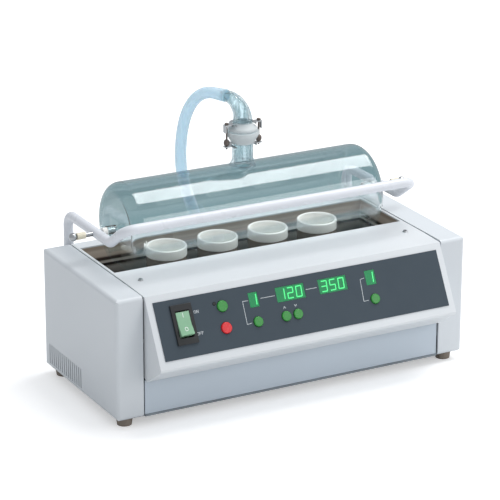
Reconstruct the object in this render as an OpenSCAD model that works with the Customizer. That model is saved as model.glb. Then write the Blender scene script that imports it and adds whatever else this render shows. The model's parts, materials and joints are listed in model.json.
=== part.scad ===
// Block digester: an infrared bench unit with four crucibles under a glass suction hood.
// Millimetres. +X to the right, +Y to the back, +Z up. The origin lies on the bench,
// under the middle of the instrument, with the free hose left out of that middle.

/* [Housing] */
// Overall width across both end caps
body_w = 510; // [440:1:620]
// Depth of the end caps, front to back
body_d = 220; // [210:1:270]
// Height of the housing above its feet
body_h = 162; // [150:1:200]
// Height of the rubber feet
foot_h = 12; // [8:1:20]
// Width of each end cap
cap_w = 37; // [30:1:48]
// Wall of the moulded end caps
cap_wall = 3; // [2:0.5:4]
// Radius of the end cap edges
edge_r = 5; // [3:0.5:8]
// Sheet metal thickness
sheet_t = 2; // [1.5:0.5:3]
// Gap at the seams between housing parts
seam = 0.3; // [0.2:0.1:0.6]

/* [Console] */
// How far the console nose stands in front of the end caps
console_reach = 45; // [30:1:60]
// Height of the console nose above the base
nose_h = 78; // [65:1:95]
// Height of the lower front panel, where the console's underside starts
console_back_h = 49; // [35:1:60]
// Height of the dark control panel, along the slope
panel_h = 75; // [70:1:80]
// Width of the dark control panel
panel_w = 414; // [400:1:420]
// Thickness of the control panel film
panel_t = 0.8; // [0.5:0.1:1.5]

/* [Controls] */
// Diameter of the start and stop buttons
big_button_d = 14.5; // [12:0.5:16]
// Diameter of the setting buttons
small_button_d = 13; // [10:0.5:14]
// Travel of a button
button_travel = 1; // [0.5:0.1:1.5]
// Height of the display windows
window_h = 19; // [16:0.5:22]
// Width of the power switch bezel
bezel_w = 29; // [26:0.5:32]
// Height of the power switch bezel
bezel_h = 51; // [48:0.5:54]
// Tilt of the power rocker each way
rocker_tilt = 8; // [5:1:12]

/* [Well] */
// Distance from the front plane to the heating well
well_front = 93; // [88:1:100]
// Depth of the well opening, front to back
well_d = 104; // [100:1:110]
// Width of the well opening
well_w = 424; // [400:1:426]
// Height of the well floor above the base
well_floor = 66; // [58:1:72]
// Height of the deck that the sleeves stand on
deck_h = 100; // [94:1:106]

/* [Crucibles] */
// Diameter of the crucible's ceramic ring
ring_d = 54; // [48:1:58]
// Height of the ceramic ring
ring_h = 12.5; // [8:0.5:16]
// Height of the crucible's rim above the base
rim_h = 166; // [160:1:172]
// Spacing of the crucibles
crucible_pitch = 75; // [68:1:82]
// Outer diameter of the quartz sleeves
sleeve_d = 53; // [47:1:57]
// Wall of the quartz sleeves
sleeve_t = 2; // [1.5:0.5:3]
// Clearance between a crucible and its sleeve
crucible_gap = 0.75; // [0.5:0.05:1.5]

/* [Glass hood] */
// Outer diameter of the glass hood
glass_d = 122; // [110:1:126]
// Wall of the glass
glass_t = 3.5; // [2.5:0.5:5]
// Length of the glass hood
glass_l = 371; // [320:1:374]
// Radius of the hood's rounded shoulders
shoulder_r = 15; // [8:1:22]
// Height of the hood's axis above the base
hood_axis_h = 199; // [195:1:215]
// Drop from the axis to the open underside of the hood
cut_drop = 44; // [38:1:50]
// Outer diameter of the glass neck
neck_d = 28; // [22:0.2:29]
// Height of the ground ball joint's centre above the base
joint_h = 304; // [296:1:312]

/* [Lifting frame] */
// Diameter of the frame tube
tube_d = 13; // [9:0.5:13]
// Distance from the end cap's outer face to the frame's arms
arm_inset = 43; // [41:1:50]
// Bend radius of the frame tube
bend_r = 16; // [12:1:20]
// Distance from the front plane to the lifting bar
bar_y = 62; // [50:1:66]
// Height of the lifting bar above the base
bar_h = 227.5; // [220:0.5:240]
// Distance from the front plane to the bend in front of the arms
kink_y = 103; // [98:1:110]
// Height of the hinge axis above the base
pivot_h = 146; // [140:1:150]
// Distance from the housing's back to the hinge axis
pivot_reach = 12; // [11:0.5:16]

/* [Hose] */
// Outer diameter of the suction hose
hose_d = 15.6; // [12:0.1:15.6]
// Turns in the stored coil before its end curls inwards
coil_turns = 1.25; // [1:0.25:2.25]
// Radius at the start of the coil
coil_r = 94; // [90:1:100]
// Step inwards from one turn to the next
coil_step = 16.6; // [16:0.1:18]

/* [Hidden] */

$fn = 48;
seat_gap = 0.3;        // gap between pieces that seat on each other
pin_gap = 0.08;         // radial running clearance of pins in their bores
over = 1;              // how far a cutter passes a face
let_in = 0.4;          // how far a straight tube runs into a bend

// Places in the shared frame
hinge_reach = 20;      // how far the hinge stands behind the housing
front_y = (console_reach - body_d - hinge_reach) / 2;
back_y = front_y + body_d;
base_z = foot_h;
top_z = base_z + body_h;
inner_w = body_w - 2 * cap_w;       // span between the end caps
plate_t = 2;                        // chassis side plates
mid_w = inner_w - 2 * plate_t - 2 * seam;   // span of the middle housing parts
arm_x = body_w / 2 - arm_inset;
well_y = front_y + well_front + well_d / 2; // centre line of the well and of the hood
axis_z = base_z + hood_axis_h;
joint_z = base_z + joint_h;
pivot_y = back_y + pivot_reach;
pivot_z = base_z + pivot_h;

// ---------------------------------------------------------------- helpers

// Sum of two points along a path offset: the inner side of a folded sheet
function unit(v) = v / norm(v);
function normal2(a, b) = let (d = unit(b - a)) [-d.y, d.x];
function fold_point(path, i, t) =
    let (
        n0 = i > 0 ? normal2(path[i - 1], path[i]) : normal2(path[0], path[1]),
        n1 = i < len(path) - 1 ? normal2(path[i], path[i + 1]) : n0,
        m = n0 + n1
    )
    path[i] + m * (2 * t / (m * m));
function fold_inner(path, t) = [for (i = [len(path) - 1 : -1 : 0]) fold_point(path, i, t)];

// A profile drawn in Y and Z, extruded along X about the middle
module along_x(length) {
    rotate([90, 0, 90])
        linear_extrude(length, center = true)
            children();
}

module bar_x(d, length) {
    rotate([0, 90, 0])
        cylinder(d = d, h = length, center = true);
}

module both_sides() {
    children();
    mirror([1, 0, 0])
        children();
}

// Tube swept along points: radii[i] at points[i], side vector kept near `side`
function tangent(p, i) = unit(p[min(i + 1, len(p) - 1)] - p[max(i - 1, 0)]);
function sweep_ring(c, t, side, r, n) =
    let (u = unit(side - (side * t) * t), v = cross(t, u))
    [for (k = [0 : n - 1]) c + r * (cos(360 * k / n) * u + sin(360 * k / n) * v)];
function sweep_points(p, radii, side, n, t0, t1) = [
    for (i = [0 : len(p) - 1])
        let (t = i == 0 ? t0 : i == len(p) - 1 ? t1 : tangent(p, i))
            each sweep_ring(p[i], t, side, radii[i], n)
];
function quad(a, b, c, d) = [[a, b, c], [a, c, d]];
module sweep(p, radii, side, n, t0, t1) {
    last = (len(p) - 1) * n;
    polyhedron(
        points = concat(sweep_points(p, radii, side, n, t0, t1), [p[0], p[len(p) - 1]]),
        faces = concat(
            [for (i = [0 : len(p) - 2]) for (k = [0 : n - 1])
                let (a = i * n + k, b = i * n + (k + 1) % n)
                    each quad(a, a + n, b + n, b)],
            [for (k = [0 : n - 1]) [len(p) * n, k, (k + 1) % n]],
            [for (k = [0 : n - 1]) [len(p) * n + 1, last + (k + 1) % n, last + k]]
        )
    );
}

// ---------------------------------------------------------------- console frame

crease_y = 42;           // where the top starts to fall towards the console
crease_drop = 1.2;       // how far it has fallen at the front edge
slope_top = [0, body_h - crease_drop];
slope_end = [-console_reach, nose_h];
slope_l = norm(slope_end - slope_top);
slope_a = atan2(console_reach, slope_top.y - nose_h);   // angle from vertical

// Children stand on the console slope: x across, s down from its top edge, z outwards
module on_slope(x, s, out = 0) {
    translate([0, front_y, base_z + slope_top.y])
        rotate([90 - slope_a, 0, 0])
            translate([x, -s, out])
                children();
}

panel_s = 9 + panel_h / 2;      // middle of the control panel, down the slope
button_rows = [28.9, 56.8];     // upper and lower row, down the slope
display_s = 28.4;
board_out = -14;                // front face of the control board
board_t = 1.6;
panel_seat = 0.05;              // film of adhesive under the panel

// x, s, diameter
start_at = [-114.5, button_rows[0], big_button_d];
stop_at = [-115.5, button_rows[1], big_button_d];
step_at = [-70, button_rows[1], small_button_d];
up_at = [-29.5, button_rows[1], small_button_d];
down_at = [-12.5, button_rows[1], small_button_d];
program_at = [101.5, button_rows[1], small_button_d];
buttons = [start_at, stop_at, step_at, up_at, down_at, program_at];
lamp_at = [-124.6, 24.2];
lamp_d = 4;

// x, width of each display window
step_win = [-69.5, 13];
time_win = [-16.4, 41];
temp_win = [45.6, 41];
program_win = [101.7, 14.5];
windows = [step_win, time_win, temp_win, program_win];

switch_at = [-171.5, 42.3];
switch_body_w = bezel_w - 4;
switch_body_h = bezel_h - 5;
switch_body_d = 20;
rocker_w = 18.4;
rocker_h = 30.6;
rocker_gap = 0.5;
rocker_axle_d = 4;
rocker_axle_out = panel_t - 1.2;     // axle height above the slope

module panel_cuts(gap) {
    for (b = buttons)
        translate([b[0], panel_s - b[1], 0])
            circle(d = b[2] + 2 * gap);
    translate([lamp_at[0], panel_s - lamp_at[1]])
        circle(d = lamp_d + 2 * gap);
    for (w = windows)
        translate([w[0], panel_s - display_s])
            square([w[1] + gap, window_h + gap], center = true);
    translate([switch_at[0], panel_s - switch_at[1]])
        square([switch_body_w + gap, switch_body_h + gap], center = true);
}

// ---------------------------------------------------------------- housing

vent_n = 16;
vent_pitch = 6.4;
vent_w = 3;
vent_h = 27;
vent_z = base_z + 20;
vent_y = front_y + 156;

// Block with the edges of its outer face and its long edges rounded
module round_square(w, h, r) {
    square([w - 2 * r, h], center = true);
    square([w, h - 2 * r], center = true);
    for (x = [-1, 1]) for (y = [-1, 1])
        translate([x * (w / 2 - r), y * (h / 2 - r)])
            circle(r = r);
}

module cap_profile(h) {
    translate([-cap_w / 2, 0])
        round_square(3 * cap_w, h, edge_r);
}

module cap_shape() {
    translate([body_w / 2 - cap_w, front_y + body_d / 2, base_z + body_h / 2])
        intersection() {
            translate([0, 0, -body_h])
                linear_extrude(2 * body_h)
                    cap_profile(body_d);
            rotate([90, 0, 0])
                linear_extrude(2 * body_d, center = true)
                    cap_profile(body_h);
            translate([cap_w / 2, 0, 0])
                along_x(cap_w)
                    round_square(body_d, body_h, edge_r);
        }
}

// End cap: a moulded shell, open to the inside and below, with ventilation slots
module cover() {
    x0 = body_w / 2 - cap_w;
    difference() {
        cap_shape();
        translate([x0 - over, front_y + cap_wall, base_z - over])
            cube([cap_w - cap_wall + over, body_d - 2 * cap_wall, body_h - cap_wall + over]);
        for (i = [0 : vent_n - 1])
            translate([body_w / 2, vent_y + (i - (vent_n - 1) / 2) * vent_pitch, vent_z])
                cube([3 * cap_wall, vent_w, vent_h], center = true);
    }
}

module right_cover() {
    color("#D3D8DC")
        cover();
}

module left_cover() {
    color("#D3D8DC")
        mirror([1, 0, 0])
            cover();
}

// Chassis plates that the end caps close against
module side_plates() {
    inset = cap_wall + 1;
    color("#8E979E")
        both_sides()
            translate([inner_w / 2 - plate_t - seam / 2, front_y + inset, base_z + base_t + seam])
                cube([plate_t, body_d - 2 * inset, body_h - inset - base_t - seam]);
}

// Folded top: rear strip, front strip, console slope, nose and slanted underside
console_path = [
    [body_d - cap_wall, body_h],
    [crease_y, body_h],
    slope_top,
    slope_end,
    [-console_reach + 1.5, nose_h - 3.5],
    [-5, console_back_h]
];

module console() {
    wedge = [for (i = [2 : 5]) console_path[i]];
    color("#E9EDF0")
        difference() {
            translate([0, front_y, base_z])
                union() {
                    along_x(mid_w)
                        polygon(concat(console_path, fold_inner(console_path, sheet_t)));
                    both_sides()
                        translate([(mid_w - sheet_t) / 2, 0, 0])
                            along_x(sheet_t)
                                polygon(concat(wedge, [[3, console_back_h + 3], [3, slope_top.y]]));
                }
            translate([-well_w / 2, front_y + well_front, top_z - 2 * sheet_t])
                cube([well_w, well_d, 4 * sheet_t]);
            on_slope(0, panel_s, -2 * sheet_t)
                linear_extrude(3 * sheet_t)
                    panel_cuts(0.5);
            top_screw_places()
                cylinder(d = screw_shank_d + 0.4, h = 6 * sheet_t, center = true);
        }
}

// Lower front panel with its folded edges
module lower_front_panel() {
    color("#A9B8C4")
        translate([-mid_w / 2, front_y + 1.5, base_z + base_t]) {
            cube([mid_w, sheet_t, console_back_h - base_t - seam]);
            translate([0, sheet_t, 0])
                cube([mid_w, 8, sheet_t]);
        }
}

rear_t = 2.5;
module rear_panel() {
    color("#C9CED2")
        difference() {
            translate([-mid_w / 2, back_y - rear_t, base_z + base_t])
                cube([mid_w, rear_t, body_h - base_t - sheet_t - seam]);
            translate([inlet_at.x, back_y, base_z + inlet_at.y])
                cube([inlet_w + 0.4, 6 * rear_t, inlet_h + 0.4], center = true);
            for (i = [0, 1])
                translate([fuse_x + i * fuse_pitch, back_y, base_z + inlet_at.y])
                    rotate([90, 0, 0])
                        cylinder(d = fuse_d + 0.4, h = 6 * rear_t, center = true);
            rear_screw_places()
                cylinder(d = screw_shank_d + 0.4, h = 6 * rear_t, center = true);
            bracket_screw_places()
                cylinder(d = screw_shank_d + 0.4, h = 6 * rear_t, center = true);
        }
}

base_t = 2.5;
foot_inset = 18;
module base_plate() {
    color("#7E8890")
        difference() {
            union() {
                translate([-body_w / 2 + cap_wall + seam, front_y + cap_wall + seam, base_z])
                    cube([body_w - 2 * (cap_wall + seam), body_d - 2 * (cap_wall + seam), base_t]);
                translate([-mid_w / 2, front_y + 0.5, base_z])
                    cube([mid_w, body_d - 0.5 - seam, base_t]);
            }
            foot_places()
                cylinder(d = screw_shank_d + 0.4, h = 6 * base_t, center = true);
            for (i = [-6 : 6])
                translate([i * 22, front_y + body_d / 2, base_z])
                    cube([4, 60, 6 * base_t], center = true);
        }
}

module foot_places() {
    for (x = [-1, 1]) for (y = [front_y + foot_inset, back_y - foot_inset])
        translate([x * (body_w / 2 - foot_inset), y, base_z])
            children();
}

foot_d = 22;
module feet() {
    color("#9A8C80")
        foot_places()
            difference() {
                translate([0, 0, -foot_h])
                    cylinder(d1 = foot_d - 3, d2 = foot_d, h = foot_h);
                translate([0, 0, -foot_h - over])
                    cylinder(d = screw_head_d + 1, h = foot_h / 2 + over);
                translate([0, 0, -foot_h])
                    cylinder(d = screw_shank_d + 0.4, h = 2 * foot_h);
            }
}

// ---------------------------------------------------------------- fasteners

screw_head_d = 7;
screw_head_h = 2.2;
screw_shank_d = 4;

// Pan head screw with a cross recess: head above z = 0, shank below
module screw(length) {
    difference() {
        union() {
            cylinder(d1 = screw_head_d, d2 = screw_head_d - 1.6, h = screw_head_h);
            translate([0, 0, -length])
                cylinder(d = screw_shank_d, h = length);
        }
        for (a = [0, 90])
            rotate(a)
                translate([0, 0, screw_head_h])
                    cube([screw_head_d * 0.55, 1, 2], center = true);
    }
}

top_screw_x = 195;
top_screw_y = 53;
module top_screw_places() {
    both_sides()
        translate([top_screw_x, front_y + top_screw_y, top_z])
            children();
}

module top_screws() {
    color("#C8C8C4")
        top_screw_places()
            screw(8);
}

module rear_screw_places() {
    both_sides()
        for (x = [95, 165]) for (z = [14, body_h - 14])
            translate([x, back_y, base_z + z])
                rotate([-90, 0, 0])
                    children();
}

module bracket_screw_places() {
    both_sides()
        translate([arm_x, back_y, pivot_z - bracket_screw_drop])
            rotate([-90, 0, 0])
                children();
}

module rear_screws() {
    color("#C8C8C4") {
        rear_screw_places()
            screw(8);
        bracket_screw_places()
            translate([0, 0, bracket_t])
                screw(8 + bracket_t);
    }
}

module base_screws() {
    color("#C8C8C4")
        foot_places()
            translate([0, 0, -foot_h / 2])
                mirror([0, 0, 1])
                    screw(foot_h / 2 + base_t + 2);
}

// ---------------------------------------------------------------- controls

module control_panel() {
    color("#515F69")
        difference() {
            on_slope(0, panel_s, panel_seat)
                linear_extrude(panel_t)
                    difference() {
                        square([panel_w, panel_h], center = true);
                        panel_cuts(0.5);
                    }
        }
}

// Push button: domed cap, guided by the panel, with a collar behind the sheet
cap_out = 2;
collar_out = -sheet_t - seat_gap;
module button(at) {
    stem_d = 5;
    on_slope(at[0], at[1]) {
        translate([0, 0, collar_out - 1])
            cylinder(d = at[2], h = panel_t + cap_out - 0.6 - collar_out + 1);
        translate([0, 0, panel_t + cap_out - 0.6])
            cylinder(d1 = at[2], d2 = at[2] - 1.6, h = 0.6);
        translate([0, 0, collar_out - 1.5])
            cylinder(d = at[2] + 2.6, h = 1.5);
        translate([0, 0, collar_out - 4.5])
            cylinder(d = stem_d, h = 4);
    }
}

module start_button() {
    color("#469846")
        button(start_at);
}

module stop_button() {
    color("#E23238")
        button(stop_at);
}

module step_button() {
    color("#469846")
        button(step_at);
}

module time_up_button() {
    color("#469846")
        button(up_at);
}

module time_down_button() {
    color("#469846")
        button(down_at);
}

module program_button() {
    color("#469846")
        button(program_at);
}

// Start lamp: a small round lens on its legs
module start_lamp() {
    color("#1E2A22")
        on_slope(lamp_at[0], lamp_at[1]) {
            translate([0, 0, board_out])
                cylinder(d = lamp_d - 1, h = -board_out - 4);
            translate([0, 0, -4])
                cylinder(d = lamp_d, h = 4 + panel_t + 0.4);
        }
}

// Display module: from the board up to the face of its window
module display(win) {
    color("#0A8A50")
        on_slope(win[0], display_s, board_out)
            translate([-win[1] / 2, -window_h / 2, 0])
                cube([win[1], window_h, panel_t - 0.2 - board_out]);
}

module step_display() {
    display(step_win);
}

module time_display() {
    display(time_win);
}

module temperature_display() {
    display(temp_win);
}

module program_display() {
    display(program_win);
}

// Circuit board behind the panel, with a key switch under each button and stand-offs
module control_board() {
    board_x0 = -134;
    board_x1 = 118;
    board_h = 62;
    key_top = collar_out - 4.5 - button_travel - seat_gap;
    color("#2F6B4A")
        difference() {
            on_slope(0, 0) {
                translate([board_x0, -12 - board_h, board_out - board_t])
                    cube([board_x1 - board_x0, board_h, board_t]);
                for (b = buttons)
                    translate([b[0], -b[1], (board_out + key_top) / 2])
                        cube([6, 6, key_top - board_out + 0.02], center = true);
                for (x = [board_x0 + 5, board_x1 - 5]) for (s = [17, 69])
                    translate([x, -s, board_out])
                        cylinder(d = 6, h = -board_out - sheet_t - 0.02);
            }
        }
}

// Rocker switch housing: bezel, recess and axle bores in its side walls
module switch_bezel() {
    depth = 12;
    color("#1B1E20")
        on_slope(switch_at[0], switch_at[1])
            difference() {
                union() {
                    translate([-bezel_w / 2, -bezel_h / 2, panel_t + 2 * panel_seat])
                        cube([bezel_w, bezel_h, 2]);
                    translate([-switch_body_w / 2, -switch_body_h / 2, -switch_body_d])
                        cube([switch_body_w, switch_body_h, switch_body_d + panel_t + over]);
                }
                translate([0, 0, panel_t + 2 - depth / 2 + over])
                    cube([rocker_w + 2 * rocker_gap, rocker_h + 4, depth + 2 * over], center = true);
                translate([0, 0, rocker_axle_out])
                    bar_x(rocker_axle_d + 2 * pin_gap, rocker_w + 5);
            }
}

// Rocker: shallow V face on a round-ended body, at rest with its upper half pressed
module rocker() {
    half = rocker_h / 2;
    color("#A9D9B5")
        on_slope(switch_at[0], switch_at[1], rocker_axle_out)
            rotate([-rocker_tilt, 0, 0]) {
                along_x(rocker_w)
                    intersection() {
                        polygon([[-half, -4], [half, -4], [half, 6], [0, 4], [-half, 6]]);
                        circle(r = half + 0.7);
                    }
                bar_x(rocker_axle_d, rocker_w + 4);
            }
}

module power_board() {
    color("#3E7A55")
        translate([-150, front_y + 20, base_z + base_t]) {
            translate([0, 0, 6])
                cube([120, 60, board_t]);
            for (x = [5, 115]) for (y = [5, 55])
                translate([x, y, 0])
                    cylinder(d = 6, h = 6);
            translate([20, 15, 6 + board_t])
                cube([38, 32, 26]);
            translate([75, 18, 6 + board_t])
                cube([30, 26, 14]);
        }
}

inlet_at = [-150, 45];
inlet_w = 28;
inlet_h = 20.5;
// Appliance inlet: flange, recess and three contact blades
module power_inlet() {
    color("#202326")
        translate([inlet_at.x, back_y, base_z + inlet_at.y]) {
            difference() {
                union() {
                    translate([-25, 0, -14])
                        cube([50, 2.5, 28]);
                    translate([-inlet_w / 2, -18, -inlet_h / 2])
                        cube([inlet_w, 18.5, inlet_h]);
                }
                translate([-12, -14, -8])
                    cube([24, 30, 16]);
            }
            for (x = [-7, 0, 7])
                translate([x - 1, -14, x == 0 ? 0 : -4])
                    cube([2, 12, 4]);
        }
}

fuse_x = -110;
fuse_pitch = 22;
fuse_d = 12;
module fuse_holders() {
    color("#26292C")
        for (i = [0, 1])
            translate([fuse_x + i * fuse_pitch, back_y, base_z + inlet_at.y])
                rotate([-90, 0, 0])
                    difference() {
                        union() {
                            cylinder(d = fuse_d + 4, h = 2.5);
                            translate([0, 0, -22])
                                cylinder(d = fuse_d, h = 22 + 5);
                        }
                        translate([0, 0, 5])
                            cube([8, 1.4, 3], center = true);
                    }
}

// ---------------------------------------------------------------- heating well

liner_t = 1.2;
module well_liner() {
    flange = 2;
    z0 = base_z + well_floor;
    z1 = top_z - sheet_t - 0.02;
    color("#33302D")
        translate([0, well_y, 0])
            difference() {
                union() {
                    translate([-well_w / 2 - liner_t, -well_d / 2 - liner_t, z0 - liner_t])
                        cube([well_w + 2 * liner_t, well_d + 2 * liner_t, z1 - z0 + liner_t]);
                    translate([-well_w / 2 - flange, -well_d / 2 - 8, z1 - liner_t])
                        cube([well_w + 2 * flange, well_d + 16, liner_t]);
                }
                translate([-well_w / 2, -well_d / 2, z0])
                    cube([well_w, well_d, z1 - z0 + over]);
            }
}

function crucible_x(i) = (i - 2.5) * crucible_pitch;

// Deck with a round opening under each crucible and two long legs on the well floor
deck_t = 1.5;
deck_gap = 0.5;
deck_hole_d = sleeve_d - 2 * sleeve_t - 3;
module crucible_deck() {
    w = well_w - 2 * deck_gap;
    d = well_d - 2 * deck_gap;
    color("#151515")
        translate([0, well_y, base_z])
            difference() {
                union() {
                    translate([-w / 2, -d / 2, deck_h - deck_t])
                        cube([w, d, deck_t]);
                    for (y = [-d / 2, d / 2 - deck_t])
                        translate([-w / 2, y, well_floor])
                            cube([w, deck_t, deck_h - well_floor - deck_t / 2]);
                }
                for (i = [1 : 4])
                    translate([crucible_x(i), 0, deck_h])
                        cylinder(d = deck_hole_d, h = 4 * deck_t, center = true);
            }
}

heater_d = 10;
heater_z = base_z + well_floor + 18;
heater_y = 20;
heater_l = well_w - 40;
// Folded mirror trough below the heater tubes
module reflector() {
    path = [[-44, 22], [-34, 6], [-18, 1], [0, 9], [18, 1], [34, 6], [44, 22]];
    color("#D9DCDD")
        translate([0, well_y, base_z + well_floor])
            along_x(heater_l - 10 - 2 * seat_gap)
                polygon(concat(path, fold_inner(path, 1)));
}

module heater_tubes() {
    color("#E8E4DA")
        for (y = [-heater_y, heater_y])
            translate([0, well_y + y, heater_z])
                bar_x(heater_d, heater_l);
}

module heater_sockets() {
    color("#EFEDE6")
        both_sides()
            translate([heater_l / 2 - 2, well_y, base_z + well_floor])
                difference() {
                    translate([-3, -heater_y - 12, 0])
                        cube([14, 2 * heater_y + 24, 28]);
                    for (y = [-heater_y, heater_y])
                        translate([-2, y, heater_z - base_z - well_floor])
                            bar_x(heater_d + 2 * pin_gap, 8 + 2 * seat_gap);
                }
}

// Quartz sleeve around a crucible
module sleeve(i) {
    top = rim_h - ring_h - seat_gap;
    color("#8C7F73", 0.6)
        translate([crucible_x(i), well_y, base_z + deck_h])
            difference() {
                cylinder(d = sleeve_d, h = top - deck_h, $fn = 64);
                translate([0, 0, -over])
                    cylinder(d = sleeve_d - 2 * sleeve_t, h = top - deck_h + 2 * over, $fn = 64);
            }
}

module sleeve_1() {
    sleeve(1);
}

module sleeve_2() {
    sleeve(2);
}

module sleeve_3() {
    sleeve(3);
}

module sleeve_4() {
    sleeve(4);
}

// Porcelain crucible: a straight ring on a tapered cup that hangs in the sleeve
crucible_foot_h = 10;        // height of its base above the deck
crucible_wall = 2.5;
module crucible(i) {
    ring_r = ring_d / 2;
    body_r = sleeve_d / 2 - sleeve_t - crucible_gap;
    foot_r = body_r - 5;
    z0 = deck_h + crucible_foot_h;
    z1 = rim_h - ring_h;
    color("#E4E6DF")
        translate([crucible_x(i), well_y, base_z])
            rotate_extrude($fn = 64)
                polygon([
                    [0, z0], [foot_r - 2, z0], [foot_r, z0 + 2], [body_r, z1 - 12], [body_r, z1],
                    [ring_r, z1], [ring_r, rim_h - 0.8], [ring_r - 0.8, rim_h],
                    [ring_r - 2.6, rim_h], [ring_r - 3.4, rim_h - 1],
                    [ring_r - 3.6, z1 + 1], [body_r - crucible_wall, z1 - 12],
                    [foot_r - crucible_wall, z0 + 6], [foot_r - crucible_wall - 4, z0 + 3], [0, z0 + 3]
                ]);
}

module crucible_1() {
    crucible(1);
}

module crucible_2() {
    crucible(2);
}

module crucible_3() {
    crucible(3);
}

module crucible_4() {
    crucible(4);
}

// ---------------------------------------------------------------- glass hood

// Half profile of a closed bottle: radius against length, with round shoulders
module bottle_profile(r, half, round_r) {
    intersection() {
        union() {
            square([half - round_r, r]);
            square([half, r - round_r]);
            translate([half - round_r, r - round_r])
                circle(r = round_r);
        }
        square([half, r]);
    }
}

module bottle(r, half, round_r) {
    rotate([0, 90, 0])
        rotate_extrude($fn = 96)
            rotate(90) {
                mirror([0, 1, 0])
                    bottle_profile(r, half, round_r);
                rotate(180)
                    bottle_profile(r, half, round_r);
            }
}

boss_d = 14;
boss_l = 12;
pin_d = 6;
ball_r = 18;          // ground ball of the joint
cup_r = 21.5;         // outside of the cup
bore_r = neck_d / 2 - 2.6;
fuse_gap = 0.02;      // seam where the neck is fused to the hood

// Neck, flare and ground cup, about the neck's own axis with z from the hood's axis
module neck_and_cup() {
    zj = joint_z - axis_z;
    z_neck = sqrt(pow(glass_d / 2 - glass_t, 2) - pow(neck_d / 2, 2));
    inner = ball_r + seat_gap;
    rotate_extrude($fn = 48)
        difference() {
            polygon([
                [0, z_neck - 2], [neck_d / 2 + 5.5, z_neck - 2],
                [neck_d / 2 + 3.6, glass_d / 2 + 0.5], [neck_d / 2 + 1.2, glass_d / 2 + 4],
                [neck_d / 2, glass_d / 2 + 9], [neck_d / 2, zj - 16],
                [neck_d / 2 + 2.2, zj - 11.5], [cup_r - 1.5, zj - 5.5], [cup_r, zj - 2],
                [cup_r, zj + 1.5], [0, zj + 1.5]
            ]);
            translate([0, zj])
                circle(r = inner);
            square([bore_r, 2 * zj]);
        }
}

module glass_hood() {
    half = glass_l / 2;
    r = glass_d / 2;
    color("#7E979F", 0.4)
        translate([0, well_y, axis_z])
            difference() {
                union() {
                    bottle(r, half, shoulder_r);
                    both_sides()
                        translate([half + boss_l / 2 - glass_t / 2, 0, 0])
                            bar_x(boss_d, boss_l + glass_t);
                }
                bottle(r - glass_t, half - glass_t, shoulder_r - glass_t);
                cylinder(r = bore_r, h = 2 * r);
                translate([0, 0, -cut_drop - r])
                    cube([3 * half, 3 * r, 2 * r], center = true);
                both_sides()
                    translate([half + boss_l / 2, 0, 0])
                        bar_x(pin_d + 2 * pin_gap, boss_l + 2 * over);
            }
}

// Neck: a glass tube fused to the top of the hood, with the cup of the ground joint
module glass_neck() {
    color("#7E979F", 0.4)
        translate([0, well_y, axis_z])
            difference() {
                neck_and_cup();
                bar_x(glass_d + 2 * fuse_gap, glass_l);
            }
}

// Elbow: ground ball, shoulder, quarter bend and the spout that the hose meets
elbow_turn = 25;      // turned from straight back towards the left
elbow_r = 28;
elbow_rise = 16;    // height of the bend's start above the ball centre
elbow_nose = 6;
elbow_d = 22;
elbow_wall = 2.4;
spout_d = hose_d - 1.4;
elbow_side = [cos(elbow_turn), sin(elbow_turn), 0];
elbow_dir = [-sin(elbow_turn), cos(elbow_turn), 0];
elbow_top = [0, well_y, joint_z + elbow_rise + elbow_r] + elbow_r * elbow_dir;
elbow_end = elbow_top + elbow_nose * elbow_dir;

module elbow_bend(d) {
    translate([0, well_y, joint_z + elbow_rise])
        rotate([0, 0, 90 + elbow_turn])
            translate([elbow_r, 0, 0])
                rotate([90, 0, 0])
                    rotate([0, 0, 90])
                        rotate_extrude(angle = 90, $fn = 64)
                            translate([elbow_r, 0])
                                circle(d = d);
}

module at_elbow_top() {
    translate(elbow_top)
        rotate([0, 90, 90 + elbow_turn])
            children();
}

module elbow() {
    inner_d = elbow_d - 2 * elbow_wall;
    color("#A9BCC2", 0.5)
        difference() {
            union() {
                translate([0, well_y, joint_z])
                    rotate_extrude($fn = 48) {
                        intersection() {
                            circle(r = ball_r);
                            translate([0, -ball_r])
                                square([ball_r, ball_r + 2]);
                        }
                        polygon([
                            [0, 0], [ball_r, 0], [ball_r, 2.2], [19.5, 3.5], [19.5, 6],
                            [elbow_d / 2 + 2.6, 11], [elbow_d / 2 + 0.6, elbow_rise],
                            [elbow_d / 2 - 0.02, elbow_rise], [elbow_d / 2 - 0.02, elbow_rise + let_in],
                            [0, elbow_rise + let_in]
                        ]);
                    }
                elbow_bend(elbow_d);
                at_elbow_top() {
                    translate([0, 0, -let_in])
                        cylinder(d = elbow_d - 0.04, h = 2 * let_in);
                    cylinder(d1 = elbow_d - 0.04, d2 = spout_d, h = elbow_nose - 2);
                    cylinder(d = spout_d, h = elbow_nose);
                }
            }
            elbow_bend(inner_d);
            translate([0, well_y, joint_z - 2 * ball_r])
                cylinder(d = inner_d - 0.04, h = 2 * ball_r + elbow_rise + let_in);
            at_elbow_top()
                translate([0, 0, -let_in])
                    cylinder(d = spout_d - 4, h = 2 * elbow_nose);
        }
}

// Fork clamp: a slotted plate under the cup and another over the elbow's shoulder
clamp_t = 1.6;
clamp_rim = 4;
clamp_screw_x = 23.6;
clamp_screw_d = 3;
clamp_low = -17.8;
clamp_high = 11.1;
ear_w = 6.8;
ear_drop = 9;
module clamp_plate(slot_d) {
    linear_extrude(clamp_t)
        difference() {
            union() {
                circle(d = slot_d + 2 * clamp_rim);
                square([2 * clamp_screw_x + ear_w, ear_w], center = true);
            }
            circle(d = slot_d);
            translate([-slot_d / 2, -slot_d])
                square([slot_d, slot_d]);
            for (x = [-1, 1])
                translate([x * clamp_screw_x, 0])
                    circle(d = clamp_screw_d + 0.2);
        }
}

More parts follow.
